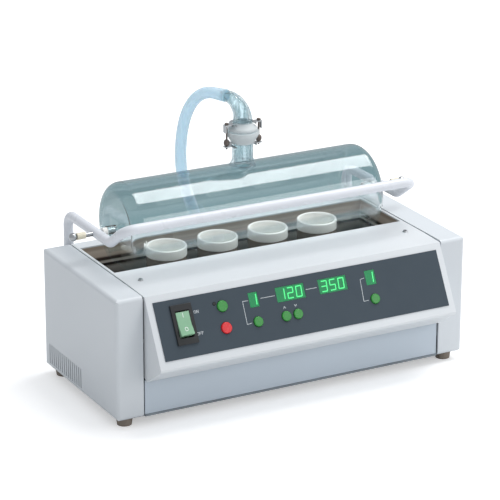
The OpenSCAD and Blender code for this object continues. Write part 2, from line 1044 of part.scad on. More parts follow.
module joint_clamp() {
    ear_end = clamp_screw_x + ear_w / 2;
    color("#B9BDBF")
        translate([0, well_y, joint_z]) {
            translate([0, 0, clamp_low])
                clamp_plate(neck_d + 1);
            translate([0, 0, clamp_high])
                clamp_plate(elbow_d + 6);
            both_sides()
                translate([ear_end - clamp_t, -ear_w / 2, clamp_high - ear_drop])
                    cube([clamp_t, ear_w, ear_drop + 0.5]);
        }
}

// Clamp screws with their knurled nuts on the lower plate
module clamp_screws() {
    knob_d = 7;
    knob_h = 7.6;
    knob_z = clamp_low + clamp_t + seat_gap;
    color("#8F857C")
        both_sides()
            translate([clamp_screw_x, well_y, joint_z]) {
                translate([0, 0, clamp_low - 3])
                    cylinder(d = clamp_screw_d, h = clamp_high - clamp_low + 6);
                translate([0, 0, knob_z])
                    cylinder(d = knob_d, h = knob_h);
                translate([0, 0, knob_z + knob_h])
                    cylinder(d1 = knob_d, d2 = knob_d - 3, h = 1.4);
                translate([0, 0, clamp_high + clamp_t + seat_gap])
                    cylinder(d = 5.5, h = 2);
            }
}

// ---------------------------------------------------------------- lifting frame

riser_dy = kink_y - bar_y;
riser_dz = bar_h - hood_axis_h;
riser_a = atan2(riser_dz, riser_dy);        // rise of the frame towards the bar
loop_y = pivot_y;
arm_z = axis_z;

// Straight tube from a to b, a hair thinner than the bends and let into them at both ends
module rod(a, b) {
    v = b - a;
    u = unit(v);
    translate(a - let_in * u)
        rotate([0, acos(u.z), atan2(u.y, u.x)])
            cylinder(d = tube_d - 0.04, h = norm(v) + 2 * let_in, $fn = 32);
}

// Bend from direction u to direction w (unit vectors) at the meeting point of two straights
module bend(corner, u, w) {
    turn = acos(u * w);
    back = bend_r * tan(turn / 2);
    axis = unit(cross(u, w));
    centre = corner - back * u + bend_r * cross(axis, u);
    x = -cross(axis, u);
    y = u;
    multmatrix([
        [x.x, y.x, axis.x, centre.x],
        [x.y, y.y, axis.y, centre.y],
        [x.z, y.z, axis.z, centre.z],
        [0, 0, 0, 1]
    ])
        rotate_extrude(angle = turn, $fn = 64)
            translate([bend_r, 0])
                circle(d = tube_d, $fn = 32);
}

function bend_back(u, w) = bend_r * tan(acos(u * w) / 2);

module half_frame() {
    up = [0, 0, 1];
    fwd = [0, -1, 0];
    rise = [0, -cos(riser_a), sin(riser_a)];
    left = [-1, 0, 0];
    foot = [arm_x, loop_y, pivot_z];
    rear = [arm_x, loop_y, arm_z];
    kink = [arm_x, front_y + kink_y, arm_z];
    corner = [arm_x, front_y + bar_y, base_z + bar_h];
    b1 = bend_back(up, fwd);
    b2 = bend_back(fwd, rise);
    b3 = bend_back(rise, left);
    rod(foot + 4 * up, rear - b1 * up);
    bend(rear, up, fwd);
    rod(rear + b1 * fwd, kink - b2 * fwd);
    bend(kink, fwd, rise);
    rod(kink + b2 * rise, corner - b3 * rise);
    bend(corner, rise, left);
    translate(foot)
        bar_x(eye_d, eye_l);
}

module lifting_bar() {
    back = bend_back([0, -cos(riser_a), sin(riser_a)], [-1, 0, 0]);
    x = arm_x - back;
    y = front_y + bar_y;
    z = base_z + bar_h;
    rod([-x, y, z], [x, y, z]);
}

hinge_pin_d = 6;
eye_d = 15;
eye_l = 14;
module lifting_frame() {
    color("#D8DEE8")
        difference() {
            union() {
                both_sides()
                    half_frame();
                lifting_bar();
            }
            both_sides()
                translate([arm_x, loop_y, pivot_z])
                    bar_x(hinge_pin_d + 2 * pin_gap, eye_l + 2 * over);
            both_sides()
                translate([arm_x, well_y, axis_z])
                    bar_x(pin_d + 2 * pin_gap, 2 * tube_d);
        }
}

// Hood pin: shaft through the arm into the glass boss, with a ball at its outer end
pin_out = 33;                 // arm to the centre of the end ball
ball_d = 11;
grip_d = 9;
grip_l = 11.5;
socket_gap = 1;
module pin() {
    inner_x = glass_l / 2 + socket_gap;
    outer_x = arm_x + pin_out;
    translate([0, well_y, axis_z]) {
        translate([(inner_x + outer_x) / 2, 0, 0])
            bar_x(pin_d, outer_x - inner_x);
        translate([outer_x, 0, 0])
            sphere(d = ball_d);
    }
}

module right_pin() {
    color("#B5B8BA")
        pin();
}

module left_pin() {
    color("#B5B8BA")
        mirror([1, 0, 0])
            pin();
}

module pin_grip() {
    translate([arm_x + pin_out - ball_d / 2 - grip_l / 2 + 0.4, well_y, axis_z])
        difference() {
            bar_x(grip_d, grip_l);
            bar_x(pin_d + 0.04, grip_l + 2 * over);
        }
}

module right_pin_grip() {
    color("#E6DFC8")
        pin_grip();
}

module left_pin_grip() {
    color("#E6DFC8")
        mirror([1, 0, 0])
            pin_grip();
}

// White washers between the glass bosses and the arms
washer_t = 6;
module pin_washers() {
    color("#F0EEEA")
        both_sides()
            translate([glass_l / 2 + boss_l + washer_t / 2 + 0.2, well_y, axis_z])
                difference() {
                    bar_x(11, washer_t);
                    bar_x(pin_d + 2 * pin_gap, washer_t + 2 * over);
                }
}

// Hinge brackets on the housing's back, with the stop bumpers above them
cheek_t = 2.4;
cheek_gap = 0.4;
bracket_h = 30;
bracket_t = 2;
bracket_screw_drop = 19;
module hinge_brackets() {
    inner = eye_l / 2 + cheek_gap;
    half = inner + cheek_t;
    color("#AEB4B9")
        both_sides()
            translate([arm_x, back_y, pivot_z])
                difference() {
                    union() {
                        translate([-half, 0, 4 - bracket_h])
                            cube([2 * half, bracket_t, bracket_h]);
                        for (x = [-half, inner])
                            translate([x, 0, 0]) {
                                translate([0, 0, -12])
                                    cube([cheek_t, pivot_reach, 16]);
                                translate([cheek_t / 2, pivot_reach, 0])
                                    bar_x(2 * (hinge_reach - pivot_reach), cheek_t);
                            }
                    }
                    translate([0, pivot_reach, 0])
                        bar_x(hinge_pin_d, 4 * half);
                    translate([0, 0, -bracket_screw_drop])
                        rotate([90, 0, 0])
                            cylinder(d = screw_shank_d + 0.4, h = 12, center = true);
                }
}

module hinge_pins() {
    half = eye_l / 2 + cheek_gap + cheek_t;
    color("#9EA3A6")
        both_sides()
            translate([arm_x, pivot_y, pivot_z]) {
                bar_x(hinge_pin_d - 0.02, 2 * half + 1);
                for (x = [-1, 1])
                    translate([x * (half + 0.8), 0, 0])
                        bar_x(hinge_pin_d + 2.5, 1.2);
            }
}

bumper_d = 7;
module rest_bumpers() {
    thick = pivot_reach - tube_d / 2 - seat_gap;
    color("#3A3A3A")
        both_sides()
            translate([arm_x, back_y, pivot_z + 5 + bumper_d / 2])
                rotate([-90, 0, 0])
                    cylinder(d = bumper_d, h = thick);
}

// ---------------------------------------------------------------- hose

// Free stretch: from the elbow over in an arch, down behind the housing to the bench.
// Round points chosen by hand; the first lies on the elbow's end and the last on the coil.
hose_r = hose_d / 2;
hose_z = hose_r + 0.2;
hose_route = [
    elbow_end,
    [-17.6, 85.1, 360.1],
    [-22, 94.5, 359.8],
    [-26.4, 104, 357.1],
    [-30.6, 113, 351.4],
    [-34.3, 121.1, 342.7],
    [-37.5, 127.9, 331.4],
    [-40.1, 133.4, 317.6],
    [-42, 137.5, 301],
    [-43, 140.3, 282.2],
    [-42.9, 142, 261.5],
    [-40.7, 143.2, 239],
    [-35.6, 144.7, 216],
    [-27.6, 147, 194.5],
    [-18.6, 150.1, 172.5],
    [-11.5, 154, 149.5],
    [-6.5, 159.4, 126],
    [-4.1, 167, 102],
    [-3.5, 177.4, 79],
    [-4, 190.5, 57.5],
    [-5.6, 205.5, 39],
    [-7.6, 221.5, 24.5],
    [-9.2, 238, 14.4],
    [-10, 254, 9.2],
    [-10, 268, hose_z],
    [-10, 284, hose_z]
];
coil_from = hose_route[len(hose_route) - 1];
coil_steps = 24;
curl_r = 60;           // the last, tighter stretch inside the coil
curl_angle = 90;
function coil_radius(a) = coil_r - coil_step * a / 360;
function coil_point(a) = [
    coil_from.x + coil_r - coil_radius(a) * cos(a),
    coil_from.y + coil_radius(a) * sin(a),
    hose_z
];
function turned(d, a) = [d.x * cos(a) + d.y * sin(a), d.y * cos(a) - d.x * sin(a), 0];
function to_right(d) = [d.y, -d.x, 0];
coil_n = round(coil_turns * coil_steps);
curl_n = round(curl_angle * coil_steps / 360);
tail_l = hose_d;
curl_from = coil_point(360 * coil_turns);
curl_dir = unit(coil_point(360 * coil_turns + 1) - coil_point(360 * coil_turns - 1));
curl_centre = curl_from + curl_r * to_right(curl_dir);
coil_end_dir = turned(curl_dir, curl_angle);
coil_path = concat(
    [for (i = [0 : coil_n]) coil_point(360 * i / coil_steps)],
    [for (i = [1 : curl_n]) curl_centre - curl_r * to_right(turned(curl_dir, curl_angle * i / curl_n))],
    [curl_centre - curl_r * to_right(coil_end_dir) + tail_l * coil_end_dir]
);

function min_gap(p, skip) = min([
    for (i = [0 : len(p) - 1]) for (j = [i + skip : 1 : len(p) - 1]) norm(p[i] - p[j])
]) - hose_d;
echo(coil_gap_to_itself = min_gap(coil_path, coil_steps / 2));

function path_length(p) = [for (i = [1 : len(p) - 1]) norm(p[i] - p[i - 1])] * [for (i = [1 : len(p) - 1]) 1];
echo(hose_length = path_length(hose_route) + path_length(coil_path));

module hose() {
    color("#B5D9F2", 0.7)
        sweep(
            hose_route, [for (p = hose_route) hose_r], elbow_side, 10, elbow_dir, [0, 1, 0]
        );
}

module hose_coil() {
    color("#B5D9F2", 0.7)
        sweep(coil_path, [for (p = coil_path) hose_r], [0, 0, 1], 6, [0, 1, 0], coil_end_dir);
}

// Barbed hose connector on the far end
module hose_fitting() {
    at = coil_path[len(coil_path) - 1];
    color("#3D4A55")
        translate(at)
            rotate([0, 90, atan2(coil_end_dir.y, coil_end_dir.x)])
                difference() {
                    union() {
                        cylinder(d = hose_d, h = 5);
                        translate([0, 0, 5])
                            cylinder(d = 9.5, h = 27);
                        for (z = [10, 17, 24])
                            translate([0, 0, z])
                                cylinder(d1 = 12.5, d2 = 9.5, h = 6);
                    }
                    translate([0, 0, 3])
                        cylinder(d = 6, h = 40);
                }
}

// ---------------------------------------------------------------- the assembly

left_cover();
right_cover();
side_plates();
console();
lower_front_panel();
rear_panel();
base_plate();
feet();
control_panel();
switch_bezel();
rocker();
start_button();
stop_button();
step_button();
time_up_button();
time_down_button();
program_button();
start_lamp();
step_display();
time_display();
temperature_display();
program_display();
control_board();
power_board();
well_liner();
crucible_deck();
reflector();
heater_tubes();
heater_sockets();
sleeve_1();
sleeve_2();
sleeve_3();
sleeve_4();
crucible_1();
crucible_2();
crucible_3();
crucible_4();
lifting_frame();
glass_hood();
glass_neck();
elbow();
joint_clamp();
clamp_screws();
left_pin();
right_pin();
left_pin_grip();
right_pin_grip();
pin_washers();
hinge_brackets();
hinge_pins();
rest_bumpers();
power_inlet();
fuse_holders();
top_screws();
rear_screws();
base_screws();
hose();
hose_coil();
hose_fitting();
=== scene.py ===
"""Looks of the block digester: camera, materials, hose, glass elbow, dressed pieces, marks, lights.
"""
import json
import math

import bmesh
import bpy
from mathutils import Matrix, Vector
from mathutils.bvhtree import BVHTree


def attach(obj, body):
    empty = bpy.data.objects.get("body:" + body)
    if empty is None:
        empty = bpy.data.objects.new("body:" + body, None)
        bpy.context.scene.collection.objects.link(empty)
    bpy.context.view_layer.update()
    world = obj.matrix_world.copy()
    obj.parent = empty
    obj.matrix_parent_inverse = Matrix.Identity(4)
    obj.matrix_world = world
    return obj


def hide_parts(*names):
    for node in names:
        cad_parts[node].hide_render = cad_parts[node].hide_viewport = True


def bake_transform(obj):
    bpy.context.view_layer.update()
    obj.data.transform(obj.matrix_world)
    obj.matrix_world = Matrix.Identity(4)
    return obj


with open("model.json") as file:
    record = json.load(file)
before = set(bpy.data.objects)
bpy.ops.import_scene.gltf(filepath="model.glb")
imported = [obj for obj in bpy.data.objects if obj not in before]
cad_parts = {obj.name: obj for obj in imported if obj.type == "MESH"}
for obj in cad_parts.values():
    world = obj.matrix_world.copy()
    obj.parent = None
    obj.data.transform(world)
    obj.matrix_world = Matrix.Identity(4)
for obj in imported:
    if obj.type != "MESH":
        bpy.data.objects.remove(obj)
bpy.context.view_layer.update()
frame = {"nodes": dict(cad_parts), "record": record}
scene = bpy.context.scene
MM = 0.001

# ------------------------------------------------------------------ places shared with the construction
FRONT_Y = -97.5                 # front plane of the end caps
BASE_Z = 12.0                   # top of the feet
WELL_Y = 47.5                   # centre line of the well, the hood and the neck
JOINT_Z = 316.0                 # centre of the ground ball joint
CONSOLE_REACH = 45              # how far the console's slope comes forward
CREASE_H, NOSE_H = 160.8, 78    # top and foot of the slope above the base
SLOPE_TOP = (FRONT_Y, BASE_Z + CREASE_H)
SLOPE_ANGLE = math.atan2(CONSOLE_REACH, CREASE_H - NOSE_H)

# ------------------------------------------------------------------ camera, solved from the photo's edges
CAMERA_TURNS = (28.44254, 19.92661, 0.16288)    # yaw, pitch and roll in degrees
CAMERA_AT = (-1.515463, -2.771227, 1.312254)
CAMERA_LENS = 185.165


def add_camera():
    yaw, pitch, roll = (math.radians(a) for a in CAMERA_TURNS)
    forward = Vector((math.sin(yaw) * math.cos(pitch), math.cos(yaw) * math.cos(pitch), -math.sin(pitch)))
    right = Vector((math.cos(yaw), -math.sin(yaw), 0))
    up = right.cross(forward)
    right, up = (
        right * math.cos(roll) + up * math.sin(roll),
        up * math.cos(roll) - right * math.sin(roll),
    )
    data = bpy.data.cameras.new("camera")
    data.sensor_width = 36
    data.lens = CAMERA_LENS
    data.clip_start = 0.05
    data.clip_end = 60
    cam = bpy.data.objects.new("camera", data)
    scene.collection.objects.link(cam)
    m = Matrix((right, up, -forward)).transposed().to_4x4()
    m.translation = Vector(CAMERA_AT)
    cam.matrix_world = m
    scene.camera = cam


add_camera()


# ------------------------------------------------------------------ materials
def linear(code):
    """Linear rgb of an sRGB hex code."""
    rgb = [int(code[i:i + 2], 16) / 255 for i in (0, 2, 4)]
    return tuple(c / 12.92 if c <= 0.04045 else ((c + 0.055) / 1.055) ** 2.4 for c in rgb)


class Shader:
    """A material with one Principled shader; most methods return the Shader, so that they chain."""

    def __init__(self, name, color, rough=0.5, metal=0.0, **inputs):
        self.mat = bpy.data.materials.new(name)
        self.mat.use_nodes = True
        self.nt = self.mat.node_tree
        self.b = self.nt.nodes["Principled BSDF"]
        self.color = linear(color)
        self.rough = rough
        self.b.inputs["Base Color"].default_value = (*self.color, 1)
        self.b.inputs["Roughness"].default_value = rough
        self.b.inputs["Metallic"].default_value = metal
        for key, value in inputs.items():
            self.b.inputs[key.replace("_", " ")].default_value = value
        self.coord = self.nt.nodes.new("ShaderNodeTexCoord")

    def node(self, kind, **values):
        """A new node, with its properties or input sockets set."""
        n = self.nt.nodes.new(kind)
        for key, value in values.items():
            if hasattr(n, key):
                setattr(n, key, value)
            else:
                n.inputs[key.replace("_", " ")].default_value = value
        return n

    def link(self, a, b):
        self.nt.links.new(a, b)

    def noise(self, scale, detail=3.0, stretch=(1, 1, 1)):
        """Noise in the piece's own coordinates, in metres."""
        m = self.node("ShaderNodeMapping")
        m.inputs["Scale"].default_value = stretch
        self.link(self.coord.outputs["Object"], m.inputs["Vector"])
        n = self.node("ShaderNodeTexNoise", Scale=scale, Detail=detail)
        self.link(m.outputs["Vector"], n.inputs["Vector"])
        return n.outputs["Fac"]

    def spread(self, fac, low, high, to_low=0.0, to_high=1.0):
        """A value moved from one range to another and kept inside it."""
        m = self.node("ShaderNodeMapRange")
        for key, value in (("From Min", low), ("From Max", high), ("To Min", to_low), ("To Max", to_high)):
            m.inputs[key].default_value = value
        self.link(fac, m.inputs["Value"])
        return m.outputs["Result"]

    def height(self, low, high):
        """0 to 1 between two heights."""
        xyz = self.node("ShaderNodeSeparateXYZ")
        self.link(self.coord.outputs["Object"], xyz.inputs["Vector"])
        return self.spread(xyz.outputs["Z"], low * MM, high * MM)

    def ramp(self, fac, stops):
        """A colour ramp through (position, linear colour) stops."""
        r = self.node("ShaderNodeValToRGB")
        e = r.color_ramp.elements
        while len(e) < len(stops):
            e.new(0.5)
        for i, (at, c) in enumerate(stops):
            e[i].position = at
            e[i].color = (*c, 1)
        self.link(fac, r.inputs["Fac"])
        return r.outputs["Color"]

    def tone(self, scale=6.0, amount=0.05, stretch=(1, 1, 1), target=None):
        """Soft variation of the base colour, or towards another colour."""
        fac = self.noise(scale, 4.0, stretch)
        dark = target or tuple(c * (1 - amount) for c in self.color)
        light = self.color if target else tuple(min(1, c * (1 + amount)) for c in self.color)
        self.link(self.ramp(fac, [(0.32, dark), (0.68, light)]), self.b.inputs["Base Color"])
        return self

    def gloss(self, scale=30.0, amount=0.06, stretch=(1, 1, 1)):
        """Soft variation of the roughness."""
        rough = self.spread(self.noise(scale, 3.0, stretch), 0.3, 0.7,
                            max(0.01, self.rough - amount), self.rough + amount)
        self.link(rough, self.b.inputs["Roughness"])
        return self

    def bump(self, scale=600.0, depth=0.02, stretch=(1, 1, 1)):
        """Fine grain, its depth in mm."""
        n = self.node("ShaderNodeBump", Strength=0.35, Distance=depth * MM)
        self.link(self.noise(scale, 2.0, stretch), n.inputs["Height"])
        self.link(n.outputs["Normal"], self.b.inputs["Normal"])
        return self

    def bands(self, low, high, stops):
        """Base colour in bands between two heights, from (position, hex code) stops."""
        colors = self.ramp(self.height(low, high), [(at, linear(code)) for at, code in stops])
        self.link(colors, self.b.inputs["Base Color"])
        return self

    def combined(self, operation, a, b):
        """Two values put together by a math node."""
        m = self.node("ShaderNodeMath", operation=operation)
        self.link(a, m.inputs[0])
        self.link(b, m.inputs[1])
        return m.outputs[0]

    def mix_in(self, fac, shader):
        """Mix another shader over what the material shows so far."""
        surface = next(n for n in self.nt.nodes if n.type == "OUTPUT_MATERIAL").inputs["Surface"]
        mix = self.node("ShaderNodeMixShader")
        self.link(fac, mix.inputs[0])
        self.link(surface.links[0].from_socket, mix.inputs[1])
        self.link(shader, mix.inputs[2])
        self.link(mix.outputs[0], surface)
        return self

    def clear(self, fac, tint):
        """Mix in a clear shader, through which rays go straight."""
        transparent = self.node("ShaderNodeBsdfTransparent", Color=(*linear(tint), 1))
        return self.mix_in(fac, transparent.outputs[0])

    def lets_light_in(self, tint):
        """Shadow and diffuse rays go straight through, tinted."""
        path = self.node("ShaderNodeLightPath")
        either = self.combined("MAXIMUM", path.outputs["Is Shadow Ray"], path.outputs["Is Diffuse Ray"])
        return self.clear(either, tint)

    def see_through(self, share, tint, edge=0.0, times=None):
        """A share of the rays goes straight through, fewer at the edges and where times is low."""
        facing = self.node("ShaderNodeLayerWeight", Blend=0.5)
        fac = self.spread(facing.outputs["Facing"], 0, 1, share, edge)
        if times is not None:
            fac = self.combined("MULTIPLY", fac, times)
        return self.clear(fac, tint)

    def ground(self, low, high, edge, color, rough):
        """A ground, milky zone between two heights, with soft edges."""
        zone = self.combined("MULTIPLY", self.height(low, low + edge), self.height(high, high - edge))
        milky = self.node("ShaderNodeBsdfPrincipled", Base_Color=(*linear(color), 1), Roughness=rough,
                          Transmission_Weight=0.25)
        return self.mix_in(zone, milky.outputs[0])


M = {}      # materials by slot name


def enamel(name, color, rough=0.42):
    M[name] = Shader(name, color, rough).tone(5, 0.025).gloss(40, 0.05).bump(1400, 0.025).mat


def plastic(name, color, rough=0.4, grain=0.02, **inputs):
    M[name] = Shader(name, color, rough, **inputs).tone(60, 0.04).gloss(90, 0.05).bump(1800, grain).mat


enamel("cover", "DCE1E5")
enamel("console_white", "DFE3E6", 0.38)
enamel("panel_blue_grey", "C6D1DB")
enamel("rear_grey", "CACFD3")
enamel("frame_tube", "E6E9EF", 0.3)
M["chassis"] = Shader("chassis", "8C949A", 0.5, 0.5).tone(30, 0.1).gloss(50, 0.1).bump(500, 0.02).mat
plastic("black_plastic", "1A1C1E", 0.42)
plastic("button_green", "2F8F38", 0.28)
plastic("button_red", "E0242C", 0.28)
plastic("board", "2F6B4A", 0.5)
plastic("knob_grey", "6E625B", 0.4)
plastic("grip_cream", "E9E2CC", 0.5)
plastic("washer_white", "F1EEEA", 0.5)
plastic("fitting", "3D4A55", 0.4)
plastic("bumper_rubber", "2B2B2B", 0.85, 0.05)
plastic("foot_rubber", "8E8378", 0.8, 0.06)
plastic("ink", "DDE3E6", 0.5)
plastic("mark_pale", "F4FBF5", 0.5)
M["panel_slate"] = (
    Shader("panel_slate", "444F58", 0.55, Specular_IOR_Level=0.25)
    .tone(8, 0.03).gloss(60, 0.05).bump(2600, 0.012).mat
)
M["steel"] = (
    Shader("steel", "B9BCBE", 0.28, 1.0).tone(80, 0.06, (0.1, 1, 1)).gloss(120, 0.08, (0.1, 1, 1))
    .bump(900, 0.006, (0.05, 1, 1)).mat
)
M["mirror_metal"] = Shader("mirror_metal", "C9C6C0", 0.16, 1.0).tone(20, 0.12).gloss(30, 0.08).mat
M["well_black"] = (
    Shader("well_black", "1D1B1A", 0.48).tone(9, target=linear("2E2623")).gloss(20, 0.12).bump(300, 0.04).mat
)
M["ceramic"] = Shader("ceramic", "FAFAF5", 0.36).tone(14, 0.035).gloss(30, 0.08).bump(700, 0.03).mat
M["heater_quartz"] = (
    Shader("heater_quartz", "DCD6CC", 0.3, Transmission_Weight=0.35, IOR=1.45).tone(18, 0.08).mat
)
M["liner_steel"] = (    # painted shade at the foot, painted reflections as pale bands and a bright line, painted shade as dark lines at the ledges; the brown tint of the upper bands is heat stain, their brightness a painted reflection
    Shader("liner_steel", "8A7E74", 0.36, 0.2)
    .bands(108, 173, [(0.0, "0B0A0A"), (0.24, "14120F"), (0.36, "8F8D88"), (0.5, "B9B7B2"), (0.545, "8E8880"),
                      (0.56, "2A2522"), (0.6, "2E2925"), (0.615, "DAD6CF"), (0.655, "C9C2B8"), (0.675, "3A322D"),
                      (0.72, "4A3F37"), (0.76, "CDBDAE"), (0.88, "D9CCBE"), (0.93, "B5A595")])
    .gloss(20, 0.1).bump(300, 0.03).mat
)
M["sleeve_quartz"] = (
    Shader("sleeve_quartz", "A09285", 0.1, Transmission_Weight=0.4, IOR=1.25).tone(9, 0.12, (1, 1, 0.4))
    .lets_light_in("9A8E84").mat
)
M["rocker_green"] = (
    Shader("rocker_green", "A6D8B2", 0.22, Transmission_Weight=0.25, IOR=1.45).tone(30, 0.05).mat
)
M["display"] = Shader("display", "078A50", 0.2, Specular_IOR_Level=0.3).tone(30, 0.06).mat
M["lit"] = (
    Shader("lit", "55E889", 0.4, Emission_Color=(*linear("3FE07C"), 1), Emission_Strength=0.5).tone(30, 0.02).mat
)
M["hose_plastic"] = (
    Shader("hose_plastic", "E6F3FB", 0.26, Subsurface_Weight=0.3, Subsurface_Radius=(0.02, 0.03, 0.04))
    .tone(9, 0.04).gloss(40, 0.05).see_through(0.66, "DDF0FA", 0.3).mat
)


def hood_glass():
    """Clear glass, tinted in its upper half; low down it hardly bends the view of the well."""
    glass = Shader("hood_glass", "F2F7F8", 0.015, Transmission_Weight=1.0, IOR=1.58)
    glass.bands(166, 274, [(0.0, "FCFEFE"), (0.5, "F6F9FA"), (0.62, "E6EEF0"), (1.0, "EAF1F3")])
    clear_below = glass.height(206, 190)
    return glass.see_through(1.0, "FAFDFD", 0.9, clear_below).lets_light_in("FEFFFF").mat


def joint_glass():
    """Thick drawn glass with streaks along it; the ball and the cup are ground."""
    glass = Shader("joint_glass", "CBD8DC", 0.02, Transmission_Weight=1.0, IOR=1.42).tone(6, 0.03)
    streaks = glass.spread(glass.noise(230, 1.0, (1, 1, 0.05)), 0.4, 0.54, 0.6, 1.0)
    glass.see_through(1.0, "F4FAFC", 0.3, streaks)
    return glass.ground(JOINT_Z - 14.6, JOINT_Z + 13.6, 0.8, "DDE2E3", 0.5).lets_light_in("E6EEF0").mat


M["hood_glass"] = hood_glass()
M["elbow_glass"] = joint_glass()

# ------------------------------------------------------------------ helpers for pieces
BODY_OF = {n: b for b, ns in frame["record"]["behaviour"]["bodies"].items() for n in ns}
SLOT_OF = {s["node"]: s["material_slot"] for s in frame["record"]["subparts"]}


def paint(obj, material):
    obj.data.materials.clear()
    obj.data.materials.append(material)


def new_object(name, data):
    obj = bpy.data.objects.new(name, data)
    scene.collection.objects.link(obj)
    return obj


def smooth(obj, angle):
    """Smooth shading, with edges sharper than the angle in degrees kept."""
    me = obj.data
    me.polygons.foreach_set("use_smooth", [True] * len(me.polygons))
    me.set_sharp_from_angle(angle=math.radians(angle))


def from_bmesh(name, bm, smooth_angle=None):
    """A new object from a bmesh, which is freed."""
    me = bpy.data.meshes.new(name)
    bm.to_mesh(me)
    bm.free()
    obj = new_object(name, me)
    if smooth_angle:
        smooth(obj, smooth_angle)
    return obj


def rings_along(bm, path, radii, sides, side):
    """Rings of vertices square to a path, one for each point; side says where a ring starts."""
    rings = []
    for i, p in enumerate(path):
        t = (path[min(i + 1, len(path) - 1)] - path[max(i - 1, 0)]).normalized()
        side = (side - side.dot(t) * t).normalized()
        across = t.cross(side)
        rings.append([
            bm.verts.new((p + radii[i] * (math.cos(a) * side + math.sin(a) * across)) * MM)
            for a in (2 * math.pi * k / sides for k in range(sides))
        ])
    return rings


def skin(bm, rings):
    """Faces between rings of equally many vertices."""
    for a, b in zip(rings, rings[1:]):
        for k in range(len(a)):
            n = (k + 1) % len(a)
            bm.faces.new((a[k], a[n], b[n], b[k]))


def cap(bm, rings):
    """Faces that close the first and the last ring."""
    bm.faces.new(rings[0][::-1])
    bm.faces.new(rings[-1])


def settle(obj, node, replaces=False):
    """Let a piece ride on the body of a CAD node, and stand for that node if replaces is set."""
    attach(obj, BODY_OF[node])
    if replaces:
        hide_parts(node)


# ------------------------------------------------------------------ hose
ELBOW_TURN = math.radians(25)   # turned from straight back towards the left
ELBOW_DIR = Vector((-math.sin(ELBOW_TURN), math.cos(ELBOW_TURN), 0))
ELBOW_SIDE = Vector((math.cos(ELBOW_TURN), math.sin(ELBOW_TURN), 0))
ELBOW_RISE = 16                 # height of the bend's start above the ball's centre
ELBOW_R = 28                    # bend radius
SPOUT_L = 6
ELBOW_TOP = Vector((0, WELL_Y, JOINT_Z + ELBOW_RISE + ELBOW_R)) + ELBOW_R * ELBOW_DIR
ELBOW_END = ELBOW_TOP + SPOUT_L * ELBOW_DIR
HOSE_R = 7.8
HOSE_Z = 8.0                    # centre line where the hose lies on the bench
SWELL, SWELL_L = 0.7, 14        # the hose is stretched over the elbow's end
SLEEVE = [(7, 8.3), (5.5, 8.7), (2, 8.6)]   # how far it reaches back over the elbow, and its radius there
ROUTE = [                       # centre line from the elbow's end down to the coil
    tuple(ELBOW_END), (-17.6, 85.1, 360.1), (-22, 94.5, 359.8), (-26.4, 104, 357.1),
    (-30.6, 113, 351.4), (-34.3, 121.1, 342.7), (-37.5, 127.9, 331.4), (-40.1, 133.4, 317.6),
    (-42, 137.5, 301), (-43, 140.3, 282.2), (-42.9, 142, 261.5), (-40.7, 143.2, 239),
    (-35.6, 144.7, 216), (-27.6, 147, 194.5), (-18.6, 150.1, 172.5), (-11.5, 154, 149.5),
    (-6.5, 159.4, 126), (-4.1, 167, 102), (-3.5, 177.4, 79), (-4, 190.5, 57.5),
    (-5.6, 205.5, 39), (-7.6, 221.5, 24.5), (-9.2, 238, 14.4), (-10, 254, 9.2),
    (-10, 268, HOSE_Z), (-10, 284, HOSE_Z),
]
COIL_STEPS, COIL_TURNS, COIL_R, COIL_STEP = 24, 1.25, 94, 16.6     # points a turn, turns, radius, step inwards
CURL_R, CURL_ANGLE, CURL_N = 60, 90, 6      # the last, tighter stretch inside the coil


def coil_points():
    """Centre line of the coil on the bench, without its first point, which ends the route."""
    x0, y0, _ = ROUTE[-1]

    def at(deg):
        r = COIL_R - COIL_STEP * deg / 360
        a = math.radians(deg)
        return Vector((x0 + COIL_R - r * math.cos(a), y0 + r * math.sin(a), HOSE_Z))

    points = [at(360 * i / COIL_STEPS) for i in range(round(COIL_TURNS * COIL_STEPS) + 1)]
    end = 360 * COIL_TURNS
    d = (at(end + 1) - at(end - 1)).normalized()

    def turned(a):
        a = math.radians(a)
        return Vector((d.x * math.cos(a) + d.y * math.sin(a), d.y * math.cos(a) - d.x * math.sin(a), 0))

    def right(v):
        return Vector((v.y, -v.x, 0))

    centre = points[-1] + CURL_R * right(d)
    points += [centre - CURL_R * right(turned(CURL_ANGLE * i / CURL_N)) for i in range(1, CURL_N + 1)]
    points.append(points[-1] + 2 * HOSE_R * turned(CURL_ANGLE))
    return points[1:]


def rounded(points, per=3):
    """Catmull-Rom points through a polyline."""
    p = [Vector(q) for q in points]
    out = []
    for i in range(len(p) - 1):
        a, b, c, d = p[max(i - 1, 0)], p[i], p[i + 1], p[min(i + 2, len(p) - 1)]
        for k in range(per):
            t = k / per
            out.append(0.5 * (2 * b + (c - a) * t + (2 * a - 5 * b + 4 * c - d) * t * t
                              + (3 * b - a - 3 * c + d) * t ** 3))
    out.append(p[-1])
    return out


def add_hose():
    path = rounded(ROUTE + coil_points())
    sleeve = [ELBOW_END - back * ELBOW_DIR for back, _ in SLEEVE]
    radii = [r for _, r in SLEEVE]
    radii += [HOSE_R + SWELL * max(0, 1 - (p - ELBOW_END).length / SWELL_L) for p in path]
    bm = bmesh.new()
    rings = rings_along(bm, sleeve + path, radii, 24, ELBOW_SIDE)
    skin(bm, rings)
    cap(bm, rings)
    bmesh.ops.recalc_face_normals(bm, faces=bm.faces)
    hose = from_bmesh("suction_hose", bm, 50)
    paint(hose, M["hose_plastic"])
    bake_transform(hose)
    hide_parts("hose", "hose_coil")


add_hose()


# ------------------------------------------------------------------ glass elbow
ELBOW_FOOT_R, ELBOW_TAPER, ELBOW_STEPS = 12.6, 5.4, 20
ELBOW_WALL, ELBOW_BORE_R = 2.2, 8.5
SPOUT_R, SPOUT_GAP = 6.6, 0.2
